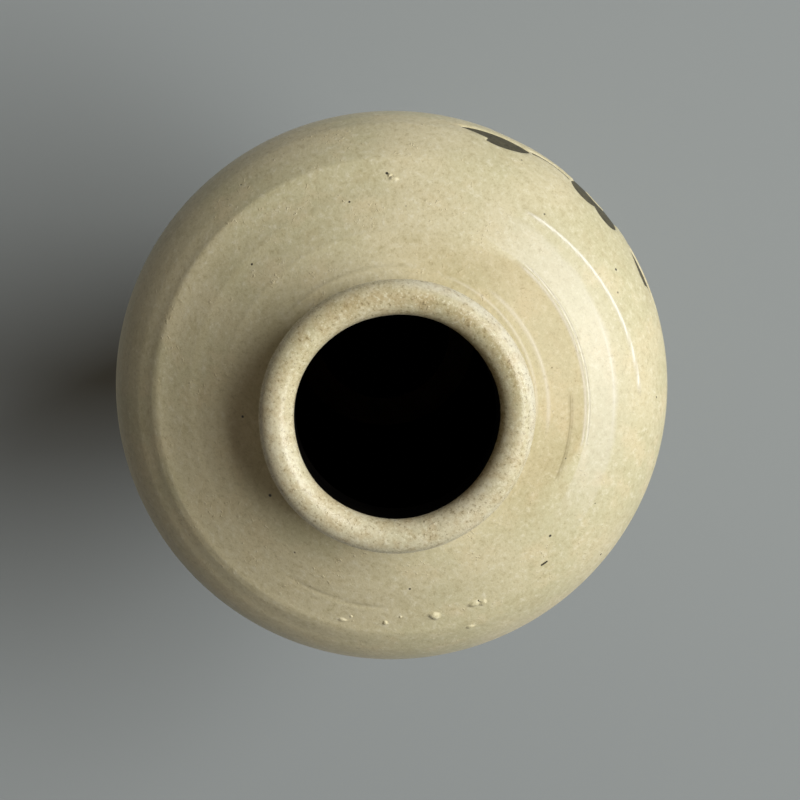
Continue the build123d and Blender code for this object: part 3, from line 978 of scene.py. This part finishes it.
# %% Colour and node helpers
def paint(code):
    """Linear colour from a hex value."""
    shares = [int(code[k : k + 2], 16) / 255 for k in (1, 3, 5)]
    return [v / 12.92 if v <= 0.04045 else ((v + 0.055) / 1.055) ** 2.4 for v in shares] + [1.0]


def add(tree, kind, inputs=None, **settings):
    """A node with its settings, and its sockets filled or linked."""
    node = tree.nodes.new(kind)
    for name, value in settings.items():
        setattr(node, name, value)
    for socket, value in (inputs or {}).items():
        if isinstance(value, bpy.types.NodeSocket):
            tree.links.new(value, node.inputs[socket])
        else:
            node.inputs[socket].default_value = value
    return node


def per_mm(size):
    """Texture scale for a feature of this size in millimetres, on coordinates in metres."""
    return 1 / (size * MM)


def material(name):
    """An empty material, its tree, and places on the object."""
    made_of = bpy.data.materials.new(name)
    made_of.use_nodes = True
    tree = made_of.node_tree
    tree.nodes.clear()
    return made_of, tree, add(tree, "ShaderNodeTexCoord").outputs["Object"]


# %% Pattern helpers
def noise(tree, place, size, detail=2.0, rough=0.5):
    """Cloudy noise with features of this size in millimetres, from 0 to 1."""
    inputs = {"Vector": place, "Scale": per_mm(size), "Detail": detail, "Roughness": rough}
    return add(tree, "ShaderNodeTexNoise", inputs).outputs["Fac"]


def ramp(tree, value, low, high, start=0.0, end=1.0):
    """Maps a value from one range to another, smoothly and clamped."""
    inputs = {"Value": value, "From Min": low, "From Max": high, "To Min": start, "To Max": end}
    return add(tree, "ShaderNodeMapRange", inputs, interpolation_type="SMOOTHSTEP").outputs["Result"]


def blend(tree, share, first, second, how="MIX"):
    """Mixes two colours."""
    inputs = {"Factor": share, 6: first, 7: second}
    return add(tree, "ShaderNodeMix", inputs, data_type="RGBA", blend_type=how).outputs[2]


def sums(tree, how, a, b):
    """One step of arithmetic."""
    return add(tree, "ShaderNodeMath", {0: a, 1: b}, operation=how).outputs[0]


def times(tree, a, b):
    """One value as a share of another."""
    return sums(tree, "MULTIPLY", a, b)


# %% Helpers for a whole material
def layers(tree, colour, coats, mask=None):
    """Lays coats of paint over a colour: a value, its range, the share at the range's end, the paint."""
    for value, low, high, share, code in coats:
        cover = ramp(tree, value, low, high, 0, share)
        cover = cover if mask is None else times(tree, mask, cover)
        colour = blend(tree, cover, colour, paint(code))
    return colour


def surface(tree, colour, roughness, relief, strength, depth, extra=None):
    """The material's shader, with a relief this many millimetres deep."""
    bumps = add(tree, "ShaderNodeBump", {"Height": relief, "Strength": strength, "Distance": depth * MM})
    inputs = {"Base Color": colour, "Roughness": roughness, "IOR": 1.5, "Normal": bumps.outputs["Normal"]}
    shader = add(tree, "ShaderNodeBsdfPrincipled", inputs | (extra or {}))
    add(tree, "ShaderNodeOutputMaterial", {"Surface": shader.outputs["BSDF"]})
    print("material with", len(tree.nodes), "nodes")


# %% [markdown]
# ### The pale glaze
#
# This is an ash glaze over a pale slip, fired to a satin that is neither glossy nor dry. Its grain is fine
# melted ash, about half a millimetre, over broader clouds where it lay thicker and turned greener or more
# yellow. On the lip it ran thin, so the brown of the clay comes through in freckles.

# %% Ash glaze
glaze, tree, place = material("ash_glaze")
grain = noise(tree, place, 1.3, 5.0, 0.8)
fine = noise(tree, place, 0.5, 3.0, 0.6)
cloud = noise(tree, place, 8.0, 4.0, 0.6)
broad = noise(tree, place, 26.0, 2.0, 0.5)
coats = (
    (broad, 0.38, 0.62, 1, "#CFC7A2"),
    (cloud, 0.47, 0.70, 1, "#DACDA8"),
    (cloud, 0.46, 0.28, 0.8, "#CCC19B"),
    (grain, 0.50, 0.30, 0.52, "#AC9E74"),
    (grain, 0.50, 0.70, 0.6, "#EFE8D0"),
    (fine, 0.45, 0.30, 0.25, "#9C8D66"),
)
colour = layers(tree, paint("#DACFAC"), coats)

# %% Painted highlight where it is glossy, painted shade inside the belt and in the grooves, and brown on the lip
attributes = [add(tree, "ShaderNodeAttribute", attribute_name=name) for name in LAYERS]
glossy_highlight, shade_and_lip_brown, groove_shade = (node.outputs["Fac"] for node in attributes)
# Painted highlight: the glossy belt, the ridges and the lip's lit side are whitened.
colour = blend(tree, times(tree, glossy_highlight, 0.46), colour, paint("#EFEAE0"))
colour = layers(tree, colour, [(glossy_highlight, 0.8, 1.6, 0.8, "#FFF9E8")])
# Painted shade darkens the shoulder inside the belt; the same darkening makes the lip's top browner.
colour = blend(tree, times(tree, shade_and_lip_brown, 0.85), colour, paint("#E9E2D5"), "MULTIPLY")
# Painted shade: a dark line in the grooves.
colour = blend(tree, times(tree, groove_shade, 0.6), colour, paint("#6E6142"))

# %% Freckles and worn patches on the lip
height = add(tree, "ShaderNodeSeparateXYZ", {"Vector": place}).outputs["Z"]
on_lip = ramp(tree, height, 0.1738, 0.1768)
worn = noise(tree, place, 3.2, 4.0, 0.65)
freckle = noise(tree, place, 0.62, 4.0, 0.7)
coats = (
    (worn, 0.42, 0.62, 0.36, "#BBA478"),
    (freckle, 0.55, 0.67, 0.62, "#7C6840"),
    (freckle, 0.46, 0.34, 0.75, "#ECE5C8"),
)
colour = layers(tree, colour, coats, on_lip)

# %% Iron specks, where they show in the picture
# angle, radius, half width in millimetres
SPECKS = (
    (-48.0, 43.36, 0.26),
    (-47.5, 43.42, 0.27),
    (-47.0, 43.48, 0.27),
    (-46.5, 43.54, 0.24),
    (-40.5, 39.9, 0.30),
    (-37.5, 53.0, 0.28),
    (-145.5, 29.0, 0.32),
    (-177.5, 28.9, 0.26),
    (30.5, 50.5, 0.28),
    (0.0, 52.5, 0.22),
    (-85.5, 35.9, 0.25),
    (102.5, 39.8, 0.22),
    (135.0, 38.4, 0.24),
    (91.9, 44.3, 0.30),
    (-67.2, 42.5, 0.20),
    (-67.0, 42.9, 0.16),
    (-17.0, 34.2, 0.22),
)
dark = None
for angle, radius, half in SPECKS:
    spot, _ = shoulder_point(angle, radius)
    away = add(tree, "ShaderNodeVectorMath", {0: place, 1: spot * MM}, operation="DISTANCE").outputs["Value"]
    mark = ramp(tree, away, half * 1.25 * MM, half * 0.7 * MM)
    dark = mark if dark is None else sums(tree, "MAXIMUM", dark, mark)
cells = add(tree, "ShaderNodeTexVoronoi", {"Vector": place, "Scale": per_mm(5.2), "Randomness": 1.0})
drawn = add(tree, "ShaderNodeSeparateXYZ", {"Vector": cells.outputs["Color"]}).outputs["X"]
small = times(tree, ramp(tree, drawn, 0.70, 0.72), ramp(tree, cells.outputs["Distance"], 0.050, 0.022))
speckled = sums(tree, "MAXIMUM", dark, times(tree, small, 0.75))
colour = blend(tree, speckled, colour, paint("#2E271C"))

# %% The glaze's surface, glossier where it lies thick and on the lip
pitted = sums(tree, "SUBTRACT", times(tree, grain, 0.9), times(tree, small, 1.2))
blisters = ramp(tree, noise(tree, place, 0.9, 2.0, 0.5), 0.62, 0.72)
blistered = times(tree, blisters, ramp(tree, cloud, 0.48, 0.62))
relief = sums(tree, "ADD", sums(tree, "ADD", pitted, times(tree, fine, 0.55)), blistered)
glossy = sums(tree, "MAXIMUM", glossy_highlight, times(tree, on_lip, 1.35))
gloss = sums(tree, "SUBTRACT", ramp(tree, grain, 0.3, 0.7, 0.43, 0.58), times(tree, glossy, 0.17))
surface(tree, colour, gloss, relief, 0.7, 0.11, {"Sheen Weight": 0.12, "Sheen Roughness": 0.3})
print("specks placed", len(SPECKS))

# %% [markdown]
# ### Slip, lining and clay
#
# The slip is iron-bearing clay, almost black-green and dry. The lining is a tenmoku, a dark iron glaze with
# a soft gloss, its colour made almost black as painted shade for the shadowed inside. The clay is a buff
# stoneware with sand in it, browner where the fire reached it.

# %% Dark slip
slip, tree, place = material("iron_slip")
strokes = noise(tree, place, 2.6, 3.0, 0.6)
fine = noise(tree, place, 0.6, 2.0)
coats = ((strokes, 0.35, 0.68, 1, "#57513C"), (fine, 0.5, 0.72, 0.5, "#332F24"))
colour = layers(tree, paint("#45402F"), coats)
relief = sums(tree, "ADD", strokes, times(tree, fine, 0.4))
surface(tree, colour, ramp(tree, fine, 0.3, 0.7, 0.5, 0.66), relief, 0.5, 0.08)

# %% Dark lining, almost black as painted shade
lining_shade, tree, place = material("tenmoku_painted_shade")
pool = noise(tree, place, 6.0, 3.0)
fine = noise(tree, place, 0.9, 2.0)
# The colour is almost black: part dark glaze, part painted shade for the inside.
colour = layers(tree, paint("#030202"), [(pool, 0.4, 0.65, 1, "#080604")])
gloss = ramp(tree, fine, 0.3, 0.7, 0.5, 0.62)
surface(tree, colour, gloss, fine, 0.4, 0.08, {"IOR": 1.25, "Specular IOR Level": 0.15})

# %% Bare clay
clay, tree, place = material("buff_stoneware")
sand = noise(tree, place, 0.7, 3.0, 0.6)
body = noise(tree, place, 7.0, 3.0)
flash = noise(tree, place, 24.0, 2.0)
coats = (
    (body, 0.38, 0.66, 1, "#94795A"),
    (flash, 0.5, 0.7, 0.6, "#8A6547"),
    (sand, 0.55, 0.72, 0.6, "#BBA583"),
    (sand, 0.40, 0.26, 0.6, "#5B4632"),
)
colour = layers(tree, paint("#A48B6B"), coats)
surface(tree, colour, ramp(tree, sand, 0.3, 0.7, 0.78, 0.9), sand, 0.7, 0.15)


# %% Put the materials on
def wear(thing, made_of):
    """Gives every face of a piece this material."""
    thing.data.materials.clear()
    thing.data.materials.append(made_of)


worn_by = {"ash_glaze_coat": glaze, "kiln_grit_pimples": glaze, "dark_lining_painted_shade": lining_shade}
worn_by["turned_foot_section"] = clay
for name, thing in made.items():
    wear(thing, worn_by.get(name, slip))
for name in ("shoulder_section", "neck_ring", "belly_slip_joint", "neck_slip_joint"):
    wear(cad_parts[name], clay)

# %% [markdown]
# ## Floor and light
#
# A pale floor, two soft lamps on the right, where the window was, and an even sky for the rest.

# %% Floor
BACKDROP = paint("#979C9F")
floor_paint, tree, place = material("floor_paint")
shader = add(tree, "ShaderNodeBsdfPrincipled", {"Base Color": BACKDROP, "Roughness": 0.9})
add(tree, "ShaderNodeOutputMaterial", {"Surface": shader.outputs["BSDF"]})
reach = 3.0
sheet = bpy.data.meshes.new("floor")
corners = [(-reach, -reach, 0), (reach, -reach, 0), (reach, reach, 0), (-reach, reach, 0)]
sheet.from_pydata(corners, [], [(0, 1, 2, 3)])
floor = new_object("floor", sheet)
wear(floor, floor_paint)

# %% Lamps
DAYLIGHT = paint("#FCFDF9")
LIT = Vector((0, 0, 160)) * MM  # the place that the lamps are aimed at


def lamp(name, angle, rise, distance, size, power):
    """A square soft lamp at an angle of the picture, this many degrees above level."""
    data = bpy.data.lights.new(name, "AREA")
    data.shape = "RECTANGLE"
    data.size, data.size_y = size
    data.energy = power
    data.color = DAYLIGHT[:3]
    thing = new_object(name, data)
    way = seen(angle, cos(radians(rise)), sin(radians(rise)))
    thing.location = LIT + way * distance
    thing.rotation_euler = (-way).to_track_quat("-Z", "Y").to_euler()


lamp("window_above", 10, 52, 2.4, (2.1, 1.0), 58.0)
lamp("window_below", 16, 20, 2.4, (1.3, 0.5), 20.0)

# %% Sky
world = bpy.data.worlds.new("sky")
scene.world = world
world.use_nodes = True
tree = world.node_tree
sky = tree.nodes["Background"]
rays = add(tree, "ShaderNodeLightPath").outputs
seen_there = sums(tree, "MAXIMUM", rays["Is Camera Ray"], rays["Is Glossy Ray"])
seen_there = sums(tree, "MAXIMUM", seen_there, rays["Is Transmission Ray"])
tree.links.new(blend(tree, seen_there, paint("#FFE6C4"), BACKDROP), sky.inputs["Color"])
tree.links.new(ramp(tree, seen_there, 0, 1, 0.08, 1.0), sky.inputs["Strength"])
scene.view_settings.view_transform = "Standard"
